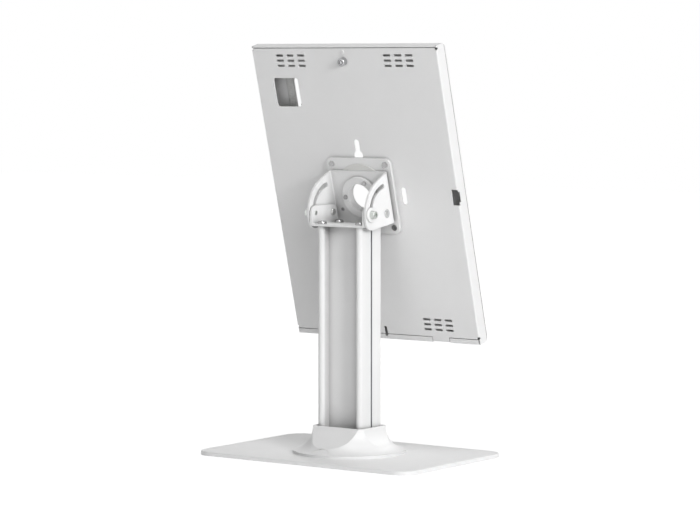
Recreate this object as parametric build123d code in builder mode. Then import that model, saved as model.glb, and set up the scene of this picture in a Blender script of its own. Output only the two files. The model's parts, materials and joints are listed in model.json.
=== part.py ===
"""Tablet security kiosk stand: a lockable steel tablet case on a tilting, turning head,
carried by an aluminium column on a heavy desk plate. Millimetres, +Z up, the screen faces -Y.
The origin is on the desk, under the middle of the base plate."""
import os
from math import acos, atan2, cos, degrees, hypot, radians, sin, sqrt

from build123d import *

# Clearances shared by several pieces
overrun = 5.0
slide_gap = 0.2
turn_gap = 0.3
quarter_turn = 90.0
screw_gap = 0.15

# Base plate and its pads
plate_width = 300.0
plate_depth = 200.0
plate_thick = 4.5
plate_corner = 22.0
plate_edge = 0.6
pad_height = 0.5
pad_diameter = 22.0
pad_inset = 26.0

# Column: two round-ended posts joined by a hollow core, with a cable channel front and back
post_spacing = 53.2
post_thick = 8.8
column_depth = 42.2
channel_depth = 11.7
core_wall = 2.0
side_slot_width = 2.8
side_slot_lip = 1.4
side_slot_pocket = 6.6
side_slot_depth = 2.6
column_length = 259.8

# Screws that run into the posts from both ends
port_spacing = 33.0
port_screw = 6.0
base_bolt_head = 12.0
base_bolt_length = 24.0
base_bolt_socket = 4.6
base_bolt_socket_depth = 1.8
top_screw_head = 10.8
top_screw_head_height = 3.4
top_screw_round = 2.2
top_screw_length = 18.0
cross_width = 1.2
cross_length = 5.6
cross_depth = 1.4

# Shroud at the column's foot
foot_diameter = 131.0
foot_rim = 3.0
shroud_height = 30.5
shroud_top_diameter = 83.6
shroud_wall = 2.2
collar_width = 71.0
collar_depth = 54.0
collar_recess = 4.0
collar_ledge = 3.0
column_clearance = 0.4
facet_mid_rise = 17.3
facet_low_rise = 8.8
back_facet_mid_reach = 9.4
back_facet_low_reach = 24.0
side_facet_mid_reach = 5.4
side_facet_low_reach = 16.0
door_foot_half = 11.0
door_wide_half = 14.0
door_wide_rise = 3.0
door_crown_rise = 8.4
door_gap = 0.35

# Fixed bracket on top of the column
fixed_sheet = 2.5
ear_span = 75.8
ear_depth = 49.4
ear_rise = 23.2
ear_bend = 3.6
ear_corner = 8.3
pivot_rise = 14.7
pivot_to_bolt = 32.4

# Tilting bracket
web_sheet = 2.3
cheek_sheet = 2.5
cheek_gap = 0.8
cheek_radius = 42.0
cheek_corner = 12.0
cheek_bend = 4.0
cheek_foot_share = 0.1
web_top = 30.7
web_bottom = 30.2
slot_width = 5.6
slot_spare_angle = 0.6
rest_tilt = 15.0
tilt_travel = 75.0

# Pivot and clamping hardware
bush_diameter = 9.4
bush_flange = 15.0
bush_flange_thick = 0.6
pin_diameter = 6.0
pin_head = 7.6
pin_head_height = 2.0
pin_round = 0.4
pin_head_round = 0.8
clamp_screw = 5.0
clamp_head = 8.5
clamp_head_height = 4.2
clamp_head_round = 0.6
clamp_socket = 4.6
clamp_socket_depth = 2.4
clamp_screw_tip = 0.4
clamp_disc = 17.0
clamp_disc_thick = 1.8
clamp_disc_edge = 0.45
split_washer = 8.9
split_washer_thick = 1.3
split_width = 0.8
split_angle = 20.0
friction_washer = 17.0
friction_washer_thick = 0.6

# Swivel, measured back from the rear face of the case
vesa_size = 90.0
vesa_thick = 3.5
vesa_corner = 8.0
vesa_edge = 0.3
vesa_pitch = 75.0
vesa_screw = 4.0
vesa_head = 7.0
vesa_head_height = 0.8
vesa_nut = 8.0
vesa_nut_height = 3.0
swivel_diameter = 76.0
swivel_thick = 1.0
hub_bore = 32.0
hub_tube = 43.6
hub_flange = 48.6
hub_flange_thick = 3.2
hub_edge = 0.6
hub_washer_thick = 0.5
hub_screw = 3.0
hub_screw_ring_diameter = 39.0
hub_screw_count = 3
hub_screw_start_angle = 60.0
hub_head = 5.4
hub_head_height = 1.2
hub_to_pivot_back = 18.6
hub_to_pivot_down = 15.7
stop_pin = 3.2
stop_pin_x = -29.0
stop_pin_y = -16.0
stop_pin_head = 4.2
stop_pin_head_height = 0.9
stop_pin_round = 0.6
stop_slot_clearance = 0.5
stop_slot_depth = 2.2
turn_travel = 90.0

# Case: rear shell and front frame
case_width = 259.0
case_height = 353.0
case_depth = 17.2
case_sheet = 1.2
case_bend = 1.5
case_nose = 6.0
seam_gap = 0.8
top_lip = 1.6
lip_height = 7.0
screen_side_border = 41.5
screen_end_border = 40.5
screen_corner = 6.0
frame_return = 5.0
frame_return_end = 16.5
camera_width = 35.1
camera_height = 34.4
camera_corner = 3.6
camera_side_margin = 42.2
camera_top_margin = 54.8
vent_length = 10.2
vent_height = 2.6
vent_corner = 0.8
vent_pitch_x = 15.1
vent_pitch_y = 6.1
vent_side_margin = 54.1
vent_end_margin = 14.6
vent_rows = 3
keyhole_slot = 6.8
keyhole_round = 12.4
keyhole_y = 47.2
keyhole_rise = 15.6
hang_slot_x = 55.5
hang_slot_width = 6.2
hang_slot_length = 20.4
cutout_height = 18.6
cutout_reach = 8.4
cutout_depth = 2.2
cutout_bite_height = 12.0
cutout_bite_depth = 5.0
tail_slot_width = 4.4
tail_slot_rise = 9.2
tail_hole = 5.0
tongue_side_margin = 53.0
tongue_width = 23.0
tongue_drop = 5.5
tongue_pocket = 3.4
corner_relief = 3.2
corner_relief_depth = 3.0
corner_relief_lap = 0.5
stamp_drop = 4.9
stamp_width = 4.5
stamp_length = 6.0
stamp_height = 0.5
stamp_taper = 30.0
shell_hub_hole = 50.0

# Soft strips and pads inside the case
strip_width = 10.0
strip_thick = 2.0
rest_pad_width = 40.0
rest_pad_height = 24.0
rest_pad_thick = 5.5
rest_pad_side_margin = 77.5
rest_pad_end_margin = 80.5
rest_pad_corner = 2.2

# Tubular cam lock
lock_top_margin = 17.7
lock_head = 9.4
lock_head_height = 6.4
lock_head_edge = 0.5
lock_body = 8.8
lock_body_length = 4.6
lock_bore = 7.6
plug_diameter = 7.0
plug_recess = 0.4
keyway_outer = 5.4
keyway_inner = 3.4
keyway_depth = 2.4
keyway_notch = 1.0
lock_nut = 15.0
lock_nut_height = 2.6
cam_thick = 1.8
cam_width = 10.0
cam_reach = 14.0
cam_neck = 4.0
cam_screw = 2.5
cam_screw_length = 5.0
cam_screw_head = 6.0
cam_screw_head_height = 1.6
catch_width = 20.0
catch_drop = 7.2
catch_foot = 8.0
catch_thick = 1.2
catch_depth = 2.6

# Places worked out from the sizes
plate_top = pad_height + plate_thick
crest = plate_top + shroud_height
column_top = plate_top + column_length
post_x = post_spacing / 2
post_outer = post_x + post_thick / 2
post_inner = post_x - post_thick / 2
floor_y = column_depth / 2 - channel_depth
port_y = port_spacing / 2
ear_outer = ear_span / 2
ear_inner = ear_outer - fixed_sheet
cheek_inner = ear_outer + cheek_gap
cheek_outer = cheek_inner + cheek_sheet
pivot_y = -pivot_to_bolt / 2
bolt_y = pivot_to_bolt / 2
pivot_z = column_top + pivot_rise
web_front = vesa_thick + swivel_thick + slide_gap
web_rear = web_front + web_sheet
hub_washer_front = web_rear + slide_gap
hub_flange_front = hub_washer_front + hub_washer_thick
hub_rear = hub_flange_front + hub_flange_thick
lean = radians(rest_tilt)
back_axis = Vector(0, cos(lean), -sin(lean))
up_axis = Vector(0, sin(lean), cos(lean))
pivot = Vector(0, pivot_y, pivot_z)
hub_centre = pivot - back_axis * hub_to_pivot_back + up_axis * hub_to_pivot_down
rear_face = Plane(origin=hub_centre, x_dir=(-1, 0, 0), z_dir=back_axis)
side_face = Plane(origin=pivot, x_dir=back_axis, z_dir=(1, 0, 0))
depth_axis = Axis(hub_centre, back_axis)
height_axis = Axis(hub_centre, up_axis)
port_places = [(x, y) for x in (-post_x, post_x) for y in (-port_y, port_y)]
case_half = case_width / 2
case_end = case_height / 2
shell_top = case_end - top_lip - seam_gap
shell_bottom = lip_height - case_end
shell_height = shell_top - shell_bottom
shell_middle = (shell_top + shell_bottom) / 2
lip_tip = shell_bottom - seam_gap
frame_inner = case_depth - case_sheet
side_depth = frame_inner - seam_gap
wall_inner = case_half - case_sheet
screen_width = (case_half - screen_side_border) * 2
screen_height = (case_end - screen_end_border) * 2
lock_y = case_end - lock_top_margin
sides = (-1, 1)
align_inward = {-1: Align.MIN, 1: Align.MAX}

os.makedirs("parts", exist_ok=True)


def finish(builder, label):
    """Names a finished piece and writes it to its own file."""
    builder.part.label = label
    export_step(builder.part, f"parts/{label}.step")


def across(x):
    """The plane facing +X at the given x, drawn in world Y and Z."""
    return Plane(origin=(x, 0, 0), x_dir=(0, 1, 0), z_dir=(1, 0, 0))


# Base plate: a steel slab with eased top edges, countersunk from below for the column bolts
with BuildPart() as base_plate:
    with BuildSketch(Plane.XY.offset(pad_height)):
        RectangleRounded(plate_width, plate_depth, plate_corner)
    extrude(amount=plate_thick)
    chamfer(base_plate.faces().sort_by(Axis.Z)[-1].edges(), plate_edge)
    sink_radius = base_bolt_head / 2 + screw_gap
    sink_depth = (base_bolt_head - port_screw) / 2
    with Locations(*[(x, y, pad_height) for x, y in port_places]):
        Cone(
            sink_radius,
            sink_radius - sink_depth,
            sink_depth,
            align=(Align.CENTER, Align.CENTER, Align.MIN),
            mode=Mode.SUBTRACT,
        )
        Cylinder(
            port_screw / 2 + screw_gap,
            plate_thick,
            align=(Align.CENTER, Align.CENTER, Align.MIN),
            mode=Mode.SUBTRACT,
        )
finish(base_plate, "base_plate")

# Thin self-adhesive pads under the four corners
with BuildPart() as base_pads:
    with BuildSketch():
        with GridLocations(plate_width - pad_inset * 2, plate_depth - pad_inset * 2, 2, 2):
            Circle(pad_diameter / 2)
    extrude(amount=pad_height)
finish(base_pads, "base_pads")

# Countersunk bolts from below into the posts
with BuildPart() as base_bolts:
    with Locations(*[(x, y, pad_height) for x, y in port_places]):
        Cone(
            base_bolt_head / 2,
            port_screw / 2,
            sink_depth,
            align=(Align.CENTER, Align.CENTER, Align.MIN),
        )
        Cylinder(port_screw / 2, base_bolt_length, align=(Align.CENTER, Align.CENTER, Align.MIN))
    with BuildSketch(Plane.XY.offset(pad_height)):
        with Locations(*port_places):
            RegularPolygon(base_bolt_socket / 2, 6)
    extrude(amount=base_bolt_socket_depth, mode=Mode.SUBTRACT)
finish(base_bolts, "base_bolts")

# Column: extruded profile with round-ended posts, screw ports, side slots and a hollow core
with BuildPart() as column:
    with BuildSketch(Plane.XY.offset(plate_top)):
        with GridLocations(post_spacing, 0, 2, 1):
            SlotOverall(column_depth, post_thick, rotation=90)
        Rectangle(post_spacing, floor_y * 2)
        Rectangle((post_inner - core_wall) * 2, (floor_y - core_wall) * 2, mode=Mode.SUBTRACT)
        with Locations(*port_places):
            Circle(port_screw / 2, mode=Mode.SUBTRACT)
        for side in sides:
            with Locations((side * post_outer, 0)):
                Rectangle(side_slot_lip * 2, side_slot_width, mode=Mode.SUBTRACT)
            with Locations((side * (post_outer - side_slot_lip - side_slot_depth / 2), 0)):
                Rectangle(side_slot_depth, side_slot_pocket, mode=Mode.SUBTRACT)
    extrude(amount=column_length)
finish(column, "column")


def flared_body(inset):
    """The shroud's outer form drawn in by inset: a concave flare with four hollowed facets."""
    top_radius = shroud_top_diameter / 2 - inset
    foot_radius = foot_diameter / 2 - inset
    rim_top = plate_top + foot_rim - inset
    with BuildPart() as body:
        with BuildSketch(Plane.XZ):
            with BuildLine():
                EllipticalCenterArc(
                    (foot_radius, crest),
                    foot_radius - top_radius,
                    crest - rim_top,
                    start_angle=180,
                    arc_size=quarter_turn,
                )
                Polyline(
                    (foot_radius, rim_top),
                    (foot_radius, plate_top),
                    (0, plate_top),
                    (0, crest),
                    (top_radius, crest),
                )
            make_face()
        revolve(axis=Axis.Z)
        facets = (
            (Plane.YZ, collar_depth / 2, back_facet_mid_reach, back_facet_low_reach),
            (Plane.XZ, collar_width / 2, side_facet_mid_reach, side_facet_low_reach),
        )
        for plane, half, mid_reach, low_reach in facets:
            start = half - inset
            for side in sides:
                with BuildSketch(plane):
                    with BuildLine():
                        ThreePointArc(
                            (side * start, crest),
                            (side * (start + mid_reach), plate_top + facet_mid_rise),
                            (side * (start + low_reach), plate_top + facet_low_rise),
                        )
                        Polyline(
                            (side * (start + low_reach), plate_top + facet_low_rise),
                            (side * foot_diameter, plate_top + facet_low_rise),
                            (side * foot_diameter, crest + overrun),
                            (side * start, crest + overrun),
                            (side * start, crest),
                        )
                    make_face()
                extrude(amount=foot_diameter, both=True, mode=Mode.SUBTRACT)
    return body.part


def door_prism(inset):
    """The arched cable door's outline drawn in by inset and run out through the shroud's back."""
    with BuildPart() as prism:
        with BuildSketch(Plane.XZ):
            with BuildLine():
                ThreePointArc(
                    (door_wide_half - inset, plate_top + door_wide_rise),
                    (0, plate_top + door_crown_rise - inset),
                    (inset - door_wide_half, plate_top + door_wide_rise),
                )
                Polyline(
                    (inset - door_wide_half, plate_top + door_wide_rise),
                    (inset - door_foot_half, plate_top),
                    (door_foot_half - inset, plate_top),
                    (door_wide_half - inset, plate_top + door_wide_rise),
                )
            make_face()
        extrude(amount=-foot_diameter)
    return prism.part


outer_flare = flared_body(0)
inner_flare = flared_body(shroud_wall)
ledge_top = crest - collar_recess
ledge_bottom = ledge_top - collar_ledge

# Shroud: thin flared cover with an inner ledge that fits round the column
with BuildPart() as base_shroud:
    add(outer_flare)
    with BuildSketch(Plane.XY.offset(ledge_top)):
        Rectangle(collar_width - shroud_wall * 2, collar_depth - shroud_wall * 2)
        Circle(shroud_top_diameter / 2 - shroud_wall, mode=Mode.INTERSECT)
    extrude(amount=collar_recess + overrun, mode=Mode.SUBTRACT)
    below = split(inner_flare, bisect_by=Plane.XY.offset(ledge_bottom), keep=Keep.BOTTOM, mode=Mode.PRIVATE)
    add(below, mode=Mode.SUBTRACT)
    with BuildSketch(Plane.XY.offset(plate_top)):
        RectangleRounded(
            (post_outer + column_clearance) * 2,
            column_depth + column_clearance * 2,
            post_thick / 2 + column_clearance,
        )
    extrude(amount=shroud_height + overrun, mode=Mode.SUBTRACT)
    add(door_prism(0), mode=Mode.SUBTRACT)
finish(base_shroud, "base_shroud")

# Push-in door over the cable exit at the back of the shroud
with BuildPart() as cable_exit_door:
    add(outer_flare)
    add(inner_flare, mode=Mode.SUBTRACT)
    add(door_prism(door_gap), mode=Mode.INTERSECT)
finish(cable_exit_door, "cable_exit_door")

# Fixed U bracket on the column top: a floor and two ears with round-cornered tops
with BuildPart() as column_top_bracket:
    with BuildSketch(Plane.XZ):
        with Locations((0, column_top)):
            Rectangle(ear_span, ear_rise, align=(Align.CENTER, Align.MIN))
        with Locations((0, column_top + fixed_sheet)):
            Rectangle(ear_inner * 2, ear_rise, align=(Align.CENTER, Align.MIN), mode=Mode.SUBTRACT)
    extrude(amount=ear_depth / 2, both=True)
    fillet(column_top_bracket.edges().filter_by(Axis.Y).group_by(Axis.Z)[0], ear_bend)
    inner_bend = [
        edge
        for edge in column_top_bracket.edges().filter_by(Axis.Y)
        if abs(edge.center().Z - column_top - fixed_sheet) < slide_gap
        and abs(abs(edge.center().X) - ear_inner) < slide_gap
    ]
    fillet(inner_bend, ear_bend - fixed_sheet)
    fillet(column_top_bracket.edges().filter_by(Axis.X).group_by(Axis.Z)[-1], ear_corner)
    with BuildSketch(across(0)):
        with Locations((pivot_y, pivot_z)):
            Circle(pin_diameter / 2)
        with Locations((bolt_y, pivot_z)):
            Circle(clamp_screw / 2)
    extrude(amount=ear_span, both=True, mode=Mode.SUBTRACT)
    with BuildSketch(Plane.XY.offset(column_top)):
        with Locations(*port_places):
            Circle(port_screw / 2 + screw_gap)
    extrude(amount=fixed_sheet, mode=Mode.SUBTRACT)
finish(column_top_bracket, "column_top_bracket")

# Pan-head screws through the bracket floor into the posts
with BuildPart() as bracket_screws:
    screw_seat = column_top + fixed_sheet
    with BuildSketch(Plane.XY.offset(screw_seat)):
        with Locations(*port_places):
            Circle(top_screw_head / 2)
    extrude(amount=top_screw_head_height)
    fillet(bracket_screws.edges().filter_by(GeomType.CIRCLE).group_by(Axis.Z)[-1], top_screw_round)
    with BuildSketch(Plane.XY.offset(screw_seat)):
        with Locations(*port_places):
            Circle(port_screw / 2)
    extrude(amount=-top_screw_length)
    with BuildSketch(Plane.XY.offset(screw_seat + top_screw_head_height)):
        with Locations(*port_places):
            Rectangle(cross_length, cross_width)
            Rectangle(cross_width, cross_length)
    extrude(amount=-cross_depth, mode=Mode.SUBTRACT)
finish(bracket_screws, "bracket_screws")

# Tilting bracket: a bent U whose cheeks carry the clamp slots
cheek_front = web_front - hub_to_pivot_back
cheek_top = web_top + hub_to_pivot_down
cheek_low = hub_to_pivot_down - web_bottom
tangent = atan2(cheek_top, cheek_front) - acos(cheek_radius / hypot(cheek_top, cheek_front))
heel_rise = cheek_low + (cheek_radius - cheek_front) * cheek_foot_share
heel = atan2(heel_rise, sqrt(cheek_radius**2 - heel_rise**2))
middle = (tangent + heel) / 2
slot_start = rest_tilt - slot_spare_angle
clamp_path = CenterArc((0, 0), pivot_to_bolt, slot_start, tilt_travel + slot_spare_angle * 2)
with BuildPart() as tilt_bracket:
    with BuildSketch(Plane(origin=hub_centre, x_dir=(-1, 0, 0), z_dir=-up_axis)):
        with Locations((0, web_front)):
            Rectangle(cheek_outer * 2, cheek_radius * 2, align=(Align.CENTER, Align.MIN))
        with Locations((0, web_rear)):
            Rectangle(cheek_inner * 2, cheek_radius * 2, align=(Align.CENTER, Align.MIN), mode=Mode.SUBTRACT)
    extrude(amount=cheek_radius * 2, both=True)
    fillet(tilt_bracket.edges().filter_by(height_axis).group_by(depth_axis)[0], cheek_bend)
    inner_bend = [
        edge
        for edge in tilt_bracket.edges().filter_by(height_axis)
        if abs(abs(edge.center().X) - cheek_inner) < slide_gap
        and abs((edge.center() - hub_centre).dot(back_axis) - web_rear) < slide_gap
    ]
    fillet(inner_bend, cheek_bend - cheek_sheet)
    with BuildSketch(side_face):
        with BuildLine():
            tangent_point = (cheek_radius * cos(tangent), cheek_radius * sin(tangent))
            middle_point = (cheek_radius * cos(middle), cheek_radius * sin(middle))
            heel_point = (cheek_radius * cos(heel), cheek_radius * sin(heel))
            Polyline(heel_point, (cheek_front, cheek_low), (cheek_front, cheek_top), tangent_point)
            ThreePointArc(tangent_point, middle_point, heel_point)
        make_face()
    extrude(amount=cheek_outer * 2, both=True, mode=Mode.INTERSECT)
    heel_edges = [
        edge
        for edge in tilt_bracket.edges().filter_by(Axis.X)
        if (edge.center() - pivot).dot(back_axis) > cheek_radius / 2
    ]
    fillet(heel_edges, cheek_corner)
    with BuildSketch(side_face):
        Circle(bush_diameter / 2 + turn_gap)
        SlotArc(clamp_path, slot_width)
    extrude(amount=cheek_outer * 2, both=True, mode=Mode.SUBTRACT)
    with BuildSketch(rear_face.offset(web_front - overrun)):
        Circle(hub_tube / 2 + turn_gap)
        with Locations((stop_pin_x, stop_pin_y)):
            Circle(stop_pin / 2)
    extrude(amount=web_sheet + overrun * 2, mode=Mode.SUBTRACT)
finish(tilt_bracket, "tilt_bracket")

# Riveted pin that stops the head's turn at upright and at sideways
with BuildPart() as turn_stop_pin:
    with BuildSketch(rear_face.offset(web_rear)):
        with Locations((stop_pin_x, stop_pin_y)):
            Circle(stop_pin_head / 2)
    extrude(amount=stop_pin_head_height)
    fillet(turn_stop_pin.edges().filter_by(GeomType.CIRCLE).sort_by(depth_axis)[-1], stop_pin_round)
    with BuildSketch(rear_face.offset(web_rear)):
        with Locations((stop_pin_x, stop_pin_y)):
            Circle(stop_pin / 2)
    extrude(amount=-(web_rear - vesa_thick + stop_slot_depth - slide_gap))
finish(turn_stop_pin, "turn_stop_pin")

# Flanged bushes that the cheeks turn on
with BuildPart() as pivot_bushes:
    with BuildSketch(across(ear_outer)):
        with Locations((pivot_y, pivot_z)):
            Circle(bush_flange / 2)
    extrude(amount=bush_flange_thick)
    with BuildSketch(across(ear_outer)):
        with Locations((pivot_y, pivot_z)):
            Circle(bush_diameter / 2)
    extrude(amount=cheek_outer - ear_outer)
    with BuildSketch(across(ear_outer)):
        with Locations((pivot_y, pivot_z)):
            Circle(pin_diameter / 2)
    extrude(amount=cheek_outer, mode=Mode.SUBTRACT)
    mirror(about=Plane.YZ)
finish(pivot_bushes, "pivot_bushes")

# Pins pressed through the ears, headed on the inside
with BuildPart() as pivot_pins:
    with BuildSketch(across(ear_inner)):
        with Locations((pivot_y, pivot_z)):
            Circle(pin_diameter / 2)
    extrude(amount=cheek_outer - ear_inner + slide_gap)
    fillet(pivot_pins.edges().filter_by(GeomType.CIRCLE).sort_by(Axis.X)[-1], pin_round)
    with BuildSketch(across(ear_inner)):
        with Locations((pivot_y, pivot_z)):
            Circle(pin_head / 2)
    extrude(amount=-pin_head_height)
    fillet(pivot_pins.edges().filter_by(GeomType.CIRCLE).sort_by(Axis.X)[0], pin_head_round)
    mirror(about=Plane.YZ)
finish(pivot_pins, "pivot_pins")

# Clamp: friction washer, white disc, split washer and socket screw on each side
with BuildPart() as friction_washers:
    with BuildSketch(across(ear_outer)):
        with Locations((bolt_y, pivot_z)):
            Circle(friction_washer / 2)
            Circle(clamp_screw / 2 + slide_gap, mode=Mode.SUBTRACT)
    extrude(amount=friction_washer_thick)
    mirror(about=Plane.YZ)
finish(friction_washers, "friction_washers")

disc_start = cheek_outer + slide_gap
with BuildPart() as clamp_discs:
    with BuildSketch(across(disc_start)):
        with Locations((bolt_y, pivot_z)):
            Circle(clamp_disc / 2)
    extrude(amount=clamp_disc_thick)
    chamfer(clamp_discs.edges().filter_by(GeomType.CIRCLE).sort_by(Axis.X)[-1], clamp_disc_edge)
    with BuildSketch(across(disc_start)):
        with Locations((bolt_y, pivot_z)):
            Circle(clamp_screw / 2 + slide_gap)
    extrude(amount=clamp_disc_thick, mode=Mode.SUBTRACT)
    mirror(about=Plane.YZ)
finish(clamp_discs, "clamp_discs")

split_start = disc_start + clamp_disc_thick
with BuildPart() as split_washers:
    with BuildSketch(across(split_start)):
        with Locations((bolt_y, pivot_z)):
            Circle(split_washer / 2)
            Circle(clamp_screw / 2 + slide_gap, mode=Mode.SUBTRACT)
        with Locations((bolt_y, pivot_z + split_washer / 2)):
            Rectangle(split_width, split_washer, rotation=split_angle, mode=Mode.SUBTRACT)
    extrude(amount=split_washer_thick)
    mirror(about=Plane.YZ)
finish(split_washers, "split_washers")

head_start = split_start + split_washer_thick
with BuildPart() as clamp_screws:
    with BuildSketch(across(head_start)):
        with Locations((bolt_y, pivot_z)):
            Circle(clamp_head / 2)
    extrude(amount=clamp_head_height)
    fillet(clamp_screws.edges().filter_by(GeomType.CIRCLE).sort_by(Axis.X)[-1], clamp_head_round)
    with BuildSketch(across(head_start + clamp_head_height)):
        with Locations((bolt_y, pivot_z)):
            RegularPolygon(clamp_socket / 2, 6)
    extrude(amount=-clamp_socket_depth, mode=Mode.SUBTRACT)
    with BuildSketch(across(head_start)):
        with Locations((bolt_y, pivot_z)):
            Circle(clamp_screw / 2)
    extrude(amount=ear_inner - head_start)
    chamfer(clamp_screws.edges().filter_by(GeomType.CIRCLE).sort_by(Axis.X)[0], clamp_screw_tip)
    mirror(about=Plane.YZ)
finish(clamp_screws, "clamp_screws")

# Swivel disc and mounting plate: an arc slot in both lets the stop pin travel
stop_radius = hypot(stop_pin_x, stop_pin_y)
stop_start = degrees(atan2(stop_pin_y, stop_pin_x)) - turn_travel
stop_slot = stop_pin + stop_slot_clearance * 2
stop_path = CenterArc((0, 0), stop_radius, stop_start, turn_travel)
with BuildPart() as swivel_disc:
    with BuildSketch(rear_face.offset(vesa_thick)):
        Circle(swivel_diameter / 2)
        Circle(hub_tube / 2 + slide_gap, mode=Mode.SUBTRACT)
        SlotArc(stop_path, stop_slot, mode=Mode.SUBTRACT)
    extrude(amount=swivel_thick)
finish(swivel_disc, "swivel_disc")

with BuildPart() as vesa_plate:
    with BuildSketch(rear_face):
        RectangleRounded(vesa_size, vesa_size, vesa_corner)
    extrude(amount=vesa_thick)
    chamfer(vesa_plate.faces().sort_by(depth_axis)[-1].edges(), vesa_edge)
    with BuildSketch(rear_face):
        Circle(hub_bore / 2)
        with GridLocations(vesa_pitch, vesa_pitch, 2, 2):
            Circle(vesa_screw / 2 + screw_gap)
        with PolarLocations(hub_screw_ring_diameter / 2, hub_screw_count, start_angle=hub_screw_start_angle):
            Circle(hub_screw / 2)
    extrude(amount=vesa_thick, mode=Mode.SUBTRACT)
    with BuildSketch(rear_face.offset(vesa_thick)):
        SlotArc(stop_path, stop_slot)
    extrude(amount=-stop_slot_depth, mode=Mode.SUBTRACT)
finish(vesa_plate, "vesa_plate")

# Low-head screws through plate and shell, with nuts inside the case
with BuildPart() as vesa_screws:
    with BuildSketch(rear_face.offset(vesa_thick)):
        with GridLocations(vesa_pitch, vesa_pitch, 2, 2):
            Circle(vesa_head / 2)
    extrude(amount=vesa_head_height)
    with BuildSketch(rear_face.offset(vesa_thick)):
        with GridLocations(vesa_pitch, vesa_pitch, 2, 2):
            Circle(vesa_screw / 2)
    extrude(amount=-(vesa_thick + case_sheet + vesa_nut_height))
finish(vesa_screws, "vesa_screws")

with BuildPart() as vesa_nuts:
    with BuildSketch(rear_face.offset(-case_sheet)):
        with GridLocations(vesa_pitch, vesa_pitch, 2, 2):
            RegularPolygon(vesa_nut / 2, 6)
            Circle(vesa_screw / 2, mode=Mode.SUBTRACT)
    extrude(amount=-vesa_nut_height)
finish(vesa_nuts, "vesa_nuts")

# Hub ring: its tube passes the web, and its flange holds the web against the swivel disc
with BuildPart() as hub_washer:
    with BuildSketch(rear_face.offset(hub_washer_front)):
        Circle(hub_flange / 2 - hub_washer_thick)
        Circle(hub_tube / 2 + slide_gap, mode=Mode.SUBTRACT)
    extrude(amount=hub_washer_thick)
finish(hub_washer, "hub_washer")

with BuildPart() as hub_ring:
    with BuildSketch(rear_face.offset(vesa_thick)):
        Circle(hub_tube / 2)
    extrude(amount=hub_flange_front - vesa_thick)
    with BuildSketch(rear_face.offset(hub_flange_front)):
        Circle(hub_flange / 2)
    extrude(amount=hub_flange_thick)
    chamfer(hub_ring.faces().sort_by(depth_axis)[-1].edges(), hub_edge)
    with BuildSketch(rear_face.offset(hub_rear)):
        Circle(hub_bore / 2)
        with PolarLocations(hub_screw_ring_diameter / 2, hub_screw_count, start_angle=hub_screw_start_angle):
            Circle(hub_screw / 2 + screw_gap)
    extrude(amount=-hub_rear, mode=Mode.SUBTRACT)
finish(hub_ring, "hub_ring")

with BuildPart() as hub_screws:
    with BuildSketch(rear_face.offset(hub_rear)):
        with PolarLocations(hub_screw_ring_diameter / 2, hub_screw_count, start_angle=hub_screw_start_angle):
            Circle(hub_head / 2)
    extrude(amount=hub_head_height)
    with BuildSketch(rear_face.offset(hub_rear)):
        with PolarLocations(hub_screw_ring_diameter / 2, hub_screw_count, start_angle=hub_screw_start_angle):
            Circle(hub_screw / 2)
    extrude(amount=-hub_rear)
finish(hub_screws, "hub_screws")


def case_prism(inset, half_width):
    """The case's side outline, rounded front and back, drawn in by inset and run across X."""
    with BuildPart() as prism:
        with BuildSketch(Plane(origin=hub_centre, x_dir=back_axis, z_dir=(1, 0, 0))) as outline:
            with Locations((-case_depth / 2, 0)):
                Rectangle(case_depth - inset * 2, case_height - inset * 2)
            fillet(outline.vertices().group_by(Axis.X)[0], case_nose - inset)
            fillet(outline.vertices().group_by(Axis.X)[-1], case_bend - inset)
        extrude(amount=half_width, both=True)
    return prism.part


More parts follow.
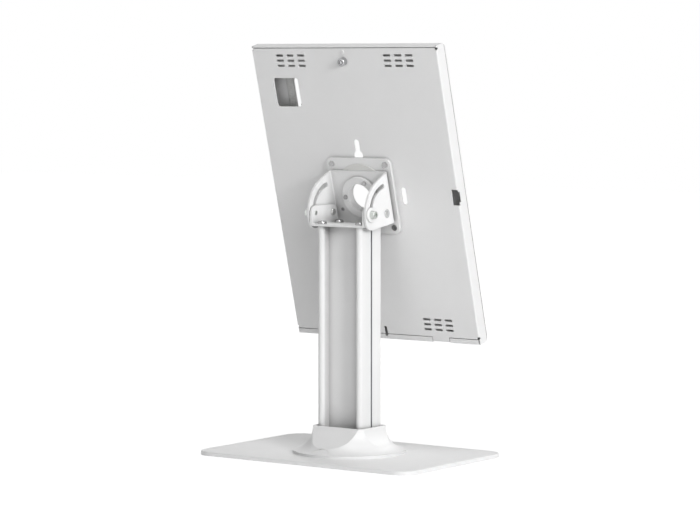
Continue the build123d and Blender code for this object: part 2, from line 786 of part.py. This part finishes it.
# Rear shell: a sheet with both sides bent forward, pierced for air, camera, cables and hanging
with BuildPart() as rear_shell:
    with BuildSketch(rear_face):
        Rectangle(case_width, case_height)
    extrude(amount=-side_depth)
    fillet(rear_shell.edges().filter_by(height_axis).group_by(depth_axis)[-1], case_bend)
    with BuildSketch(rear_face.offset(-case_sheet)):
        Rectangle(wall_inner * 2, case_height)
    extrude(amount=-side_depth, mode=Mode.SUBTRACT)
    inner_bend = [
        edge
        for edge in rear_shell.edges().filter_by(height_axis)
        if abs((edge.center() - hub_centre).dot(back_axis) + case_sheet) < slide_gap
    ]
    fillet(inner_bend, case_bend - case_sheet)
    add(case_prism(0, case_width), mode=Mode.INTERSECT)
    with BuildSketch(rear_face):
        with Locations((0, shell_top)):
            Rectangle(wall_inner * 2, case_height, align=(Align.CENTER, Align.MIN))
        with Locations((0, shell_bottom)):
            Rectangle(case_width * 2, case_height, align=(Align.CENTER, Align.MAX))
    extrude(amount=-case_bend, mode=Mode.SUBTRACT)
    with BuildSketch(rear_face):
        for side in sides:
            with Locations((side * (case_half - tongue_side_margin), shell_bottom)):
                Rectangle(tongue_width, tongue_drop, align=(Align.CENTER, Align.MAX))
    extrude(amount=-case_sheet)
    with BuildSketch(rear_face):
        with Locations((0, shell_top - stamp_drop)):
            SlotOverall(stamp_length, stamp_width, rotation=90)
    extrude(amount=stamp_height, taper=stamp_taper)
    with BuildSketch(rear_face):
        Circle(shell_hub_hole / 2)
        with GridLocations(vesa_pitch, vesa_pitch, 2, 2):
            Circle(vesa_screw / 2 + screw_gap)
        with Locations((camera_side_margin - case_half, case_end - camera_top_margin)):
            RectangleRounded(camera_width, camera_height, camera_corner)
        with Locations((0, shell_middle)):
            with GridLocations((case_half - vent_side_margin) * 2, shell_height - vent_end_margin * 2, 2, 2):
                with GridLocations(vent_pitch_x, vent_pitch_y, vent_rows, vent_rows):
                    RectangleRounded(vent_length, vent_height, vent_corner)
        with Locations((0, keyhole_y), (-keyhole_y, 0)):
            Circle(keyhole_round / 2)
        with Locations((0, keyhole_y + keyhole_rise / 2)):
            SlotOverall(keyhole_rise + keyhole_slot, keyhole_slot, rotation=90)
        with Locations((-keyhole_y - keyhole_rise / 2, 0)):
            SlotOverall(keyhole_rise + keyhole_slot, keyhole_slot)
        with Locations((hang_slot_x, 0)):
            SlotOverall(hang_slot_length, hang_slot_width, rotation=90)
        with Locations((0, shell_bottom)):
            SlotOverall(tail_slot_rise * 2, tail_slot_width, rotation=90)
        with Locations((0, lock_y)):
            Circle(lock_body / 2 + screw_gap)
    extrude(amount=-case_sheet, mode=Mode.SUBTRACT)
    relief_inset = corner_relief / 2 - corner_relief_lap
    with BuildSketch(rear_face):
        for side in sides:
            with Locations(
                (side * wall_inner, shell_top - relief_inset),
                (side * wall_inner, shell_bottom + relief_inset),
            ):
                Circle(corner_relief / 2)
    extrude(amount=-corner_relief_depth, mode=Mode.SUBTRACT)
    with BuildSketch(rear_face):
        with Locations((case_half - cutout_reach, 0)):
            Rectangle(cutout_reach * 2, cutout_height, align=(Align.MIN, Align.CENTER))
    extrude(amount=-cutout_depth, mode=Mode.SUBTRACT)
    with BuildSketch(rear_face):
        with Locations((case_half - cutout_reach, 0)):
            Rectangle(cutout_reach * 2, cutout_bite_height, align=(Align.MIN, Align.CENTER))
    extrude(amount=-cutout_bite_depth, mode=Mode.SUBTRACT)
finish(rear_shell, "rear_shell")

# Front frame: bezel with top and bottom walls between the shell's sides, and a lip on each wall
with BuildPart() as front_frame:
    add(case_prism(0, case_half))
    add(case_prism(case_sheet, case_width), mode=Mode.SUBTRACT)
    with BuildSketch(rear_face):
        with Locations((0, shell_top + seam_gap)):
            Rectangle(case_width, shell_height + seam_gap * 2, align=(Align.CENTER, Align.MAX))
    extrude(amount=-case_sheet, mode=Mode.SUBTRACT)
    with BuildSketch(rear_face):
        for side in sides:
            with Locations((side * case_half, 0)):
                Rectangle((case_sheet + seam_gap) * 2, case_height * 2)
    extrude(amount=-frame_inner, mode=Mode.SUBTRACT)
    with BuildSketch(rear_face.offset(-frame_inner)):
        for side in sides:
            with Locations((side * (wall_inner - seam_gap), 0)):
                Rectangle(
                    case_sheet,
                    (case_end - frame_return_end) * 2,
                    align=(align_inward[side], Align.CENTER),
                )
    extrude(amount=frame_return)
    with BuildSketch(rear_face.offset(-frame_inner)):
        RectangleRounded(screen_width, screen_height, screen_corner)
    extrude(amount=-case_sheet, mode=Mode.SUBTRACT)
    with BuildSketch(rear_face):
        for side in sides:
            with Locations((side * (case_half - tongue_side_margin), lip_tip)):
                Rectangle(tongue_width + seam_gap * 2, lip_height * 2)
    extrude(amount=-tongue_pocket, mode=Mode.SUBTRACT)
    with BuildSketch(rear_face):
        with Locations((0, lip_tip)):
            Circle(tail_hole / 2)
    extrude(amount=-case_sheet, mode=Mode.SUBTRACT)
finish(front_frame, "front_frame")

# Soft strips behind the bezel round the screen opening
with BuildPart() as screen_strips:
    with BuildSketch(rear_face.offset(-frame_inner)):
        for side in sides:
            with Locations((side * (screen_width + strip_width) / 2, 0)):
                Rectangle(strip_width, screen_height)
            with Locations((0, side * (screen_height + strip_width + seam_gap) / 2)):
                Rectangle(screen_width, strip_width)
    extrude(amount=strip_thick)
finish(screen_strips, "screen_strips")

# Soft pads in the rear shell that press the tablet forward
with BuildPart() as rest_pads:
    with BuildSketch(rear_face.offset(-case_sheet)):
        pad_pitch_x = (case_half - rest_pad_side_margin) * 2
        pad_pitch_y = (case_end - rest_pad_end_margin) * 2
        with GridLocations(pad_pitch_x, pad_pitch_y, 2, 2):
            RectangleRounded(rest_pad_width, rest_pad_height, rest_pad_corner)
    extrude(amount=-rest_pad_thick)
finish(rest_pads, "rest_pads")

# Cam lock: threaded barrel with its nut, turning plug, cam and cam screw
with BuildPart() as lock_barrel:
    with BuildSketch(rear_face):
        with Locations((0, lock_y)):
            Circle(lock_head / 2)
    extrude(amount=lock_head_height)
    chamfer(lock_barrel.edges().filter_by(GeomType.CIRCLE).sort_by(depth_axis)[-1], lock_head_edge)
    with BuildSketch(rear_face):
        with Locations((0, lock_y)):
            Circle(lock_body / 2)
    extrude(amount=-lock_body_length)
    with BuildSketch(rear_face.offset(lock_head_height)):
        with Locations((0, lock_y)):
            Circle(lock_bore / 2)
    extrude(amount=-(lock_head_height + lock_body_length), mode=Mode.SUBTRACT)
finish(lock_barrel, "lock_barrel")

with BuildPart() as lock_nut_ring:
    with BuildSketch(rear_face.offset(-case_sheet)):
        with Locations((0, lock_y)):
            RegularPolygon(lock_nut / 2, 6, rotation=30)
            Circle(lock_body / 2, mode=Mode.SUBTRACT)
    extrude(amount=-lock_nut_height)
finish(lock_nut_ring, "lock_nut")

cam_start = lock_body_length + slide_gap
with BuildPart() as lock_plug:
    with BuildSketch(rear_face.offset(lock_head_height - plug_recess)):
        with Locations((0, lock_y)):
            Circle(plug_diameter / 2)
    extrude(amount=-(lock_head_height - plug_recess + cam_start))
    with BuildSketch(rear_face.offset(-cam_start)):
        with Locations((0, lock_y)):
            Rectangle(cam_neck, cam_neck)
    extrude(amount=-cam_thick)
    with BuildSketch(rear_face.offset(lock_head_height - plug_recess)):
        with Locations((0, lock_y)):
            Circle(keyway_outer / 2)
            Circle(keyway_inner / 2, mode=Mode.SUBTRACT)
            with Locations((0, keyway_outer / 2)):
                Rectangle(keyway_notch, keyway_notch)
    extrude(amount=-keyway_depth, mode=Mode.SUBTRACT)
    with BuildSketch(rear_face.offset(-cam_start - cam_thick)):
        with Locations((0, lock_y)):
            Circle(cam_screw / 2)
    extrude(amount=cam_screw_length, mode=Mode.SUBTRACT)
finish(lock_plug, "lock_plug")

with BuildPart() as lock_cam:
    with BuildSketch(rear_face.offset(-cam_start)):
        with Locations((cam_reach / 2 - cam_width / 4, lock_y)):
            SlotOverall(cam_reach + cam_width / 2, cam_width)
        with Locations((0, lock_y)):
            Rectangle(cam_neck, cam_neck, mode=Mode.SUBTRACT)
    extrude(amount=-cam_thick)
finish(lock_cam, "lock_cam")

with BuildPart() as lock_cam_screw:
    with BuildSketch(rear_face.offset(-cam_start - cam_thick)):
        with Locations((0, lock_y)):
            Circle(cam_screw_head / 2)
    extrude(amount=-cam_screw_head_height)
    with BuildSketch(rear_face.offset(-cam_start - cam_thick)):
        with Locations((0, lock_y)):
            Circle(cam_screw / 2)
    extrude(amount=cam_screw_length - slide_gap)
finish(lock_cam_screw, "lock_cam_screw")

# Catch welded under the front frame's top wall: the locked cam stands in front of it
catch_top = case_end - case_sheet
with BuildPart() as lock_catch:
    with BuildSketch(rear_face.offset(-catch_depth)):
        with Locations((0, catch_top)):
            Rectangle(catch_width, catch_drop, align=(Align.CENTER, Align.MAX))
    extrude(amount=-catch_thick)
    with BuildSketch(rear_face.offset(-catch_depth)):
        with Locations((0, catch_top)):
            Rectangle(catch_width, catch_thick, align=(Align.CENTER, Align.MAX))
    extrude(amount=-catch_foot)
finish(lock_catch, "lock_catch")
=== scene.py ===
"""Looks of the tablet security kiosk stand. Metres, the same frame as the CAD part."""
import json
import math

import bmesh
import bpy
from mathutils import Matrix, Vector


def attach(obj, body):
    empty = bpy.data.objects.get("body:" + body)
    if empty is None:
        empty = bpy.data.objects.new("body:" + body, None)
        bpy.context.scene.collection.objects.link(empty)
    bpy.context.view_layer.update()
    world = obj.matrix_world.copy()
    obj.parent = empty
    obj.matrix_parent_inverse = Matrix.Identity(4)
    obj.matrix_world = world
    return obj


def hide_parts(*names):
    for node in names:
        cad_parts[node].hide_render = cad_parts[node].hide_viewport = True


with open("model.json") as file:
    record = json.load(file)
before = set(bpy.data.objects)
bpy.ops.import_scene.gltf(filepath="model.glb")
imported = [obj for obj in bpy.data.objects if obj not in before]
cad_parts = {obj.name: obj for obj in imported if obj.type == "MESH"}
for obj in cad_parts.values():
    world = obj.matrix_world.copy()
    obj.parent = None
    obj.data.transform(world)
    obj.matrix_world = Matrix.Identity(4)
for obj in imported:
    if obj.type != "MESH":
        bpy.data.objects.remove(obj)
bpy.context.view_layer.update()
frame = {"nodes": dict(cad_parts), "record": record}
nodes = frame["nodes"]
scene = bpy.context.scene
scene.view_settings.view_transform = "Standard"

# The case leans back; its own directions and the middle of its rear face.
LEAN = math.radians(15)
ACROSS = Vector((1, 0, 0))
UP = Vector((0, math.sin(LEAN), math.cos(LEAN)))
BACK = Vector((0, math.cos(LEAN), -math.sin(LEAN)))
HUB = Vector((0, -0.030103, 0.299479))

# Socket numbers of the Mix node, whose sockets share their names.
COLOR_MIX = {"factor": 0, "a": 6, "b": 7, "result": 2}
FLOAT_MIX = {"factor": 0, "a": 2, "b": 3, "result": 0}


def head_point(x, y, depth):
    """A point of the case: x along +X, y up the case, depth back from its rear face."""
    return HUB + ACROSS * x + UP * y + BACK * depth


# Material nodes

def add_node(tree, kind, **values):
    """Adds a shader node and sets its inputs; an underscore stands for a space in their names."""
    node = tree.nodes.new("ShaderNode" + kind)
    for name, value in values.items():
        node.inputs[name.replace("_", " ")].default_value = value
    return node


def new_material(name):
    """A material with its tree, its shader and the object's own coordinates."""
    mat = bpy.data.materials.new(name)
    mat.use_nodes = True
    tree = mat.node_tree
    vector = add_node(tree, "TexCoord").outputs["Object"]
    return mat, tree, tree.nodes["Principled BSDF"], vector


def noise(tree, vector, scale, detail=2.0, rough=0.5):
    node = add_node(tree, "TexNoise", Scale=scale, Detail=detail, Roughness=rough)
    tree.links.new(vector, node.inputs["Vector"])
    return node.outputs["Fac"]


def stretched(tree, vector, scale):
    node = add_node(tree, "Mapping", Scale=scale)
    tree.links.new(vector, node.inputs["Vector"])
    return node.outputs["Vector"]


def map_range(tree, value, from_min, from_max, to_min, to_max):
    node = add_node(
        tree, "MapRange", From_Min=from_min, From_Max=from_max, To_Min=to_min, To_Max=to_max)
    tree.links.new(value, node.inputs["Value"])
    return node.outputs["Result"]


def spread(tree, value, low, high):
    """Turns a noise, which stays near its middle, into values from low to high."""
    lowest, highest = 0.3, 0.7
    return map_range(tree, value, lowest, highest, low, high)


def toned(tree, value, color, share, low=0.35, high=0.65):
    """The colour where value is above high, and share times the colour where it is below low."""
    node = add_node(tree, "ValToRGB")
    dark, full = node.color_ramp.elements
    dark.position = low
    full.position = high
    dark.color = (*(channel * share for channel in color), 1)
    full.color = (*color, 1)
    tree.links.new(value, node.inputs["Fac"])
    return node.outputs["Color"]


def painted_pocket_shade(tree, color, reach, low):
    """Paints shade into a colour in pockets and inner corners, so that they read deeper than the lamps alone
    make them.
    """
    pocket = add_node(tree, "AmbientOcclusion", Distance=reach)
    pocket.samples = 8
    closed, fully_open = 0.15, 0.85
    open_share = map_range(tree, pocket.outputs["AO"], closed, fully_open, low, 1.0)
    # Painted shade: the colour is multiplied down where the occlusion node finds the surface hemmed in.
    node = add_node(tree, "Mix")
    node.data_type = "RGBA"
    node.blend_type = "MULTIPLY"
    node.inputs[COLOR_MIX["factor"]].default_value = 1.0
    tree.links.new(color, node.inputs[COLOR_MIX["a"]])
    tree.links.new(open_share, node.inputs[COLOR_MIX["b"]])
    return node.outputs[COLOR_MIX["result"]]


def eased(tree, radius=0.0004):
    """A normal that rounds the sheet's sharp edges a little, so that they catch the light."""
    node = add_node(tree, "Bevel", Radius=radius)
    node.samples = 4
    return node.outputs["Normal"]


def bump(tree, shader, height, distance, strength=1.0, normal=None):
    """Adds relief to the shader, over an earlier normal where one is given."""
    node = add_node(tree, "Bump", Strength=strength, Distance=distance)
    tree.links.new(height, node.inputs["Height"])
    if normal is not None:
        tree.links.new(normal, node.inputs["Normal"])
    tree.links.new(node.outputs["Normal"], shader.inputs["Normal"])
    return node.outputs["Normal"]


# Materials

def powder_coat(name, color, rough=0.42, grain=1500.0, depth=0.00003, tone=0.98, painted_shade_low=0.45):
    """Powder coat: a fine orange-peel skin with slow changes of tone and gloss, with painted shade darkening
    its pockets and inner corners.
    """
    mat, tree, shader, vector = new_material(name)
    coat = toned(tree, noise(tree, vector, scale=14.0, detail=3.0), color, tone)
    gloss = spread(tree, noise(tree, vector, scale=60.0, detail=4.0), rough - 0.04, rough + 0.05)
    # Painted shade: the coat's colour is darkened in pockets and inner corners, within 2 cm.
    tree.links.new(painted_pocket_shade(tree, coat, reach=0.02, low=painted_shade_low), shader.inputs["Base Color"])
    tree.links.new(gloss, shader.inputs["Roughness"])
    shader.inputs["IOR"].default_value = 1.5
    peel = noise(tree, vector, scale=grain, detail=2.0, rough=0.6)
    bump(tree, shader, peel, distance=depth, strength=0.35, normal=eased(tree))
    return mat


def extrusion_coat(name, color):
    """Coated extrusion: the same skin with faint die lines that run along the column, and strong painted
    shade in its channel and inner corners.
    """
    mat, tree, shader, vector = new_material(name)
    coat = toned(tree, noise(tree, vector, scale=10.0, detail=3.0), color, share=0.98)
    gloss = spread(tree, noise(tree, vector, scale=70.0, detail=3.0), low=0.34, high=0.42)
    # Painted shade: the colour is darkened to a quarter in the channel and inner corners, within 3 cm.
    tree.links.new(painted_pocket_shade(tree, coat, reach=0.03, low=0.25), shader.inputs["Base Color"])
    tree.links.new(gloss, shader.inputs["Roughness"])
    along_column = stretched(tree, vector, (900.0, 900.0, 3.0))
    die_lines = noise(tree, along_column, scale=1.0, detail=1.0)
    lined = bump(tree, shader, die_lines, distance=0.00002, strength=0.3)
    peel = noise(tree, vector, scale=1500.0, detail=2.0)
    bump(tree, shader, peel, distance=0.00002, strength=0.25, normal=lined)
    return mat


def moulded(name, color, rough):
    """Moulded plastic with a faint satin texture."""
    mat, tree, shader, vector = new_material(name)
    skin = toned(tree, noise(tree, vector, scale=22.0, detail=3.0), color, share=0.99)
    gloss = spread(tree, noise(tree, vector, scale=90.0, detail=3.0), rough - 0.02, rough + 0.02)
    tree.links.new(skin, shader.inputs["Base Color"])
    tree.links.new(gloss, shader.inputs["Roughness"])
    satin = noise(tree, vector, scale=2600.0, detail=2.0)
    bump(tree, shader, satin, distance=0.000005, strength=0.3)
    return mat


def metal(name, color, rough, scratch=0.25):
    """Plated or blackened steel with fine turning marks and uneven gloss."""
    mat, tree, shader, vector = new_material(name)
    shader.inputs["Metallic"].default_value = 1.0
    slow = noise(tree, vector, scale=180.0, detail=4.0)
    plating = toned(tree, slow, color, share=0.8, low=0.3, high=0.7)
    gloss = spread(tree, noise(tree, vector, scale=420.0, detail=5.0), rough - 0.06, rough + 0.1)
    tree.links.new(plating, shader.inputs["Base Color"])
    tree.links.new(gloss, shader.inputs["Roughness"])
    along_marks = stretched(tree, vector, (3000.0, 500.0, 3000.0))
    turning_marks = noise(tree, along_marks, scale=1.0, detail=3.0)
    bump(tree, shader, turning_marks, distance=0.00002, strength=scratch)
    return mat


def foam(name, color):
    """Closed-cell foam: a dull skin with small open pores, whose colour is darkened as painted shade in
    them.
    """
    mat, tree, shader, vector = new_material(name)
    cells = add_node(tree, "TexVoronoi", Scale=1400.0)
    tree.links.new(vector, cells.inputs["Vector"])
    pores = cells.outputs["Distance"]
    gloss = spread(tree, noise(tree, vector, scale=300.0, detail=3.0), low=0.85, high=0.98)
    # Painted shade: the colour is halved in the pores, which the bump sinks.
    tree.links.new(toned(tree, pores, color, share=0.5, low=0.1, high=0.7), shader.inputs["Base Color"])
    tree.links.new(gloss, shader.inputs["Roughness"])
    bump(tree, shader, pores, distance=0.0002, strength=0.5)
    return mat


WHITE = (0.85, 0.85, 0.85)
materials = {
    "white_coat": powder_coat("white_coat", WHITE),
    "white_extrusion": extrusion_coat("white_extrusion", WHITE),
    "white_plastic": moulded("white_plastic", (0.84, 0.84, 0.84), 0.4),
    "white_nylon": moulded("white_nylon", (0.75, 0.75, 0.73), 0.45),
    "grey_nylon": moulded("grey_nylon", (0.52, 0.53, 0.53), 0.45),
    "black_nylon": moulded("black_nylon", (0.02, 0.02, 0.02), 0.5),
    "pad_rubber": moulded("pad_rubber", (0.05, 0.05, 0.05), 0.7),
    "black_foam": foam("black_foam", (0.03, 0.03, 0.03)),
    "white_foam": foam("white_foam", (0.7, 0.7, 0.69)),
    "dark_steel": metal("dark_steel", (0.13, 0.13, 0.13), 0.35),
    "bright_steel": metal("bright_steel", (0.42, 0.42, 0.42), 0.17, 0.15),
    "zinc_steel": metal("zinc_steel", (0.74, 0.77, 0.74), 0.32),
    "pin_steel": metal("pin_steel", (0.8, 0.8, 0.79), 0.12, 0.08),
    "lock_chrome": metal("lock_chrome", (0.55, 0.55, 0.56), 0.14, 0.1),
}
# The base plate's coat is smoother and more even than the rest, and its painted shade in pockets is faint.
plate_coat = powder_coat(
    "plate_coat", WHITE, rough=0.34, grain=1800.0, depth=0.000003, tone=0.995, painted_shade_low=0.95
)
slots = {s["node"]: s["material_slot"] for s in frame["record"]["subparts"]}
for name, obj in nodes.items():
    obj.data.materials.clear()
    obj.data.materials.append(plate_coat if name == "base_plate" else materials[slots[name]])


# Foam strips and pads

ROUNDING = 0.22  # radius of the edges, as a share of the thickness
ROUND_STEPS = 3
ROUND_PROFILE = 0.6
FACE_CUTS = 7
LONG_EDGE = 1.2  # edges longer than this many thicknesses are divided
FLATNESS = 0.4  # power of the crown: the lower, the nearer to its edges the face stays flat


def soft_block(name, centre, x_dir, y_dir, size, body, node_slot, crown):
    """A foam block with rounded edges; size is along x_dir, along y_dir and thick.

    The face away from x_dir cross y_dir falls off towards its edges by the share crown.
    """
    z_dir = x_dir.cross(y_dir)
    thick = min(size)
    bm = bmesh.new()
    bmesh.ops.create_cube(bm, size=1.0)
    for v in bm.verts:
        v.co = Vector((v.co.x * size[0], v.co.y * size[1], v.co.z * size[2]))
    bmesh.ops.bevel(
        bm, geom=bm.edges[:], affect="EDGES",
        offset=thick * ROUNDING, segments=ROUND_STEPS, profile=ROUND_PROFILE)
    long_edges = [e for e in bm.edges if e.calc_length() > thick * LONG_EDGE]
    bmesh.ops.subdivide_edges(bm, edges=long_edges, cuts=FACE_CUTS, use_grid_fill=True)
    for v in bm.verts:
        fx = 1 - (2 * v.co.x / size[0]) ** 2
        fy = 1 - (2 * v.co.y / size[1]) ** 2
        if v.co.z < 0:
            v.co.z *= 1 - crown * (1 - max(fx, 0) ** FLATNESS * max(fy, 0) ** FLATNESS)
    mesh = bpy.data.meshes.new(name)
    bm.to_mesh(mesh)
    bm.free()
    for p in mesh.polygons:
        p.use_smooth = True
    place = Matrix((x_dir, y_dir, z_dir)).transposed().to_4x4()
    place.translation = centre
    mesh.transform(place)
    mesh.materials.append(materials[node_slot])
    obj = bpy.data.objects.new(name, mesh)
    scene.collection.objects.link(obj)
    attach(obj, body)
    return obj


STRIP_DEPTH = -0.01502  # against the front frame's inner face
SIDE_STRIP = {"x": 0.093, "size": (0.0099, 0.2718, 0.0019)}
END_STRIP = {"y": 0.1414, "size": (0.1758, 0.0099, 0.0019)}
STRIP_CROWN = 0.25
for side, letter in ((-1, "a"), (1, "b")):
    soft_block(
        "screen_strip_side_" + letter, head_point(side * SIDE_STRIP["x"], 0, STRIP_DEPTH),
        ACROSS, UP, SIDE_STRIP["size"], "frame", "white_foam", STRIP_CROWN)
    soft_block(
        "screen_strip_end_" + letter, head_point(0, side * END_STRIP["y"], STRIP_DEPTH),
        ACROSS, UP, END_STRIP["size"], "frame", "white_foam", STRIP_CROWN)
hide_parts("screen_strips")

PAD_X, PAD_Y = 0.052, 0.096
PAD_DEPTH = -0.00395  # against the rear shell's inner face
PAD_SIZE = (0.0398, 0.0238, 0.0054)
PAD_CROWN = 0.3
for i, (sx, sy) in enumerate(((-1, -1), (-1, 1), (1, -1), (1, 1))):
    soft_block(
        "rest_pad_%d" % (i + 1), head_point(sx * PAD_X, sy * PAD_Y, PAD_DEPTH),
        -ACROSS, UP, PAD_SIZE, "head", "black_foam", PAD_CROWN)
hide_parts("rest_pads")


# Floor and world

def shown_to(tree):
    """1 for the rays that see the white background: camera, glossy and transmission rays."""
    path = add_node(tree, "LightPath")
    result = path.outputs["Is Camera Ray"]
    for name in ("Is Glossy Ray", "Is Transmission Ray"):
        node = add_node(tree, "Math")
        node.operation = "MAXIMUM"
        tree.links.new(result, node.inputs[0])
        tree.links.new(path.outputs[name], node.inputs[1])
        result = node.outputs["Value"]
    return result


FLOOR_REACH = 6.0
FLOOR_DROP = 0.0002
FLOOR_COLOR = (0.8, 0.8, 0.8, 1)
SHADE_COLOR = (0.2, 0.2, 0.2, 1)  # how strongly the white background takes the shadow
FLOOR_GLOW = 0.3  # what the floor gives to diffuse rays, beside the light that it reflects
NEAR_WHITE = 0.93  # the background round the stand, where the lit shade adds to it
NEAR, FAR = 0.2, 0.45  # distances from the stand's middle between which it rises to white

mesh = bpy.data.meshes.new("floor")
bm = bmesh.new()
bmesh.ops.create_grid(bm, x_segments=1, y_segments=1, size=FLOOR_REACH)
bm.to_mesh(mesh)
bm.free()
floor = bpy.data.objects.new("floor", mesh)
scene.collection.objects.link(floor)
floor.location = (0, 0, -FLOOR_DROP)

floor_mat, tree, shader, place = new_material("floor")
shader.inputs["Base Color"].default_value = FLOOR_COLOR
shader.inputs["Roughness"].default_value = 0.9
shader.inputs["Emission Color"].default_value = (1, 1, 1, 1)
shader.inputs["Emission Strength"].default_value = FLOOR_GLOW
reach = add_node(tree, "VectorMath")
reach.operation = "LENGTH"
tree.links.new(place, reach.inputs[0])
white = add_node(tree, "Emission")
whiteness = map_range(tree, reach.outputs["Value"], NEAR, FAR, NEAR_WHITE, 1.0)
tree.links.new(whiteness, white.inputs["Strength"])
shade = add_node(tree, "BsdfDiffuse", Color=SHADE_COLOR)
seen = add_node(tree, "AddShader")
tree.links.new(shade.outputs["BSDF"], seen.inputs[0])
tree.links.new(white.outputs["Emission"], seen.inputs[1])
mix = add_node(tree, "MixShader")
tree.links.new(shown_to(tree), mix.inputs["Fac"])
tree.links.new(shader.outputs["BSDF"], mix.inputs[1])
tree.links.new(seen.outputs["Shader"], mix.inputs[2])
tree.links.new(mix.outputs["Shader"], tree.nodes["Material Output"].inputs["Surface"])
mesh.materials.append(floor_mat)

AMBIENT = 0.03
world = bpy.data.worlds.new("studio")
scene.world = world
world.use_nodes = True
tree = world.node_tree
sky = tree.nodes["Background"]
sky.inputs["Color"].default_value = (1, 1, 1, 1)
strength = add_node(tree, "Mix")
strength.data_type = "FLOAT"
strength.inputs[FLOAT_MIX["a"]].default_value = AMBIENT
strength.inputs[FLOAT_MIX["b"]].default_value = 1.0
tree.links.new(shown_to(tree), strength.inputs[FLOAT_MIX["factor"]])
tree.links.new(strength.outputs[FLOAT_MIX["result"]], sky.inputs["Strength"])


# Lamps

LIT_POINT = Vector((0, 0, 0.22))


def area(name, turn, rise, distance, size, energy):
    """A square soft box that faces the stand, turned in degrees from -X towards -Y and raised in degrees."""
    data = bpy.data.lights.new(name, "AREA")
    data.shape = "SQUARE"
    data.size = size
    data.energy = energy
    lamp = bpy.data.objects.new(name, data)
    scene.collection.objects.link(lamp)
    turn, rise = math.radians(turn), math.radians(rise)
    way = Vector((-math.cos(turn) * math.cos(rise), -math.sin(turn) * math.cos(rise), math.sin(rise)))
    lamp.location = LIT_POINT + way * distance
    lamp.rotation_euler = (-way).to_track_quat("-Z", "Y").to_euler()


area("side", turn=-20, rise=15, distance=4.0, size=0.8, energy=68.0)
area("key", turn=-44, rise=20, distance=4.0, size=1.3, energy=30.0)
area("top", turn=-45, rise=72, distance=4.0, size=1.5, energy=58.0)
area("front", turn=82, rise=30, distance=4.0, size=2.0, energy=26.0)

# Camera, solved from the photograph's straight edges
CAMERA_PLACE = Vector((-1.8880, 2.6155, 0.4515))
CAMERA_AIM = Vector((-0.0005, -0.0004, 0.2258))
camera = bpy.data.objects.new("camera", bpy.data.cameras.new("camera"))
scene.collection.objects.link(camera)
camera.data.sensor_width = 36.0
camera.data.lens = 145.2
camera.data.clip_end = 50.0
camera.location = CAMERA_PLACE
camera.rotation_euler = (CAMERA_AIM - CAMERA_PLACE).to_track_quat("-Z", "Y").to_euler()
scene.camera = camera
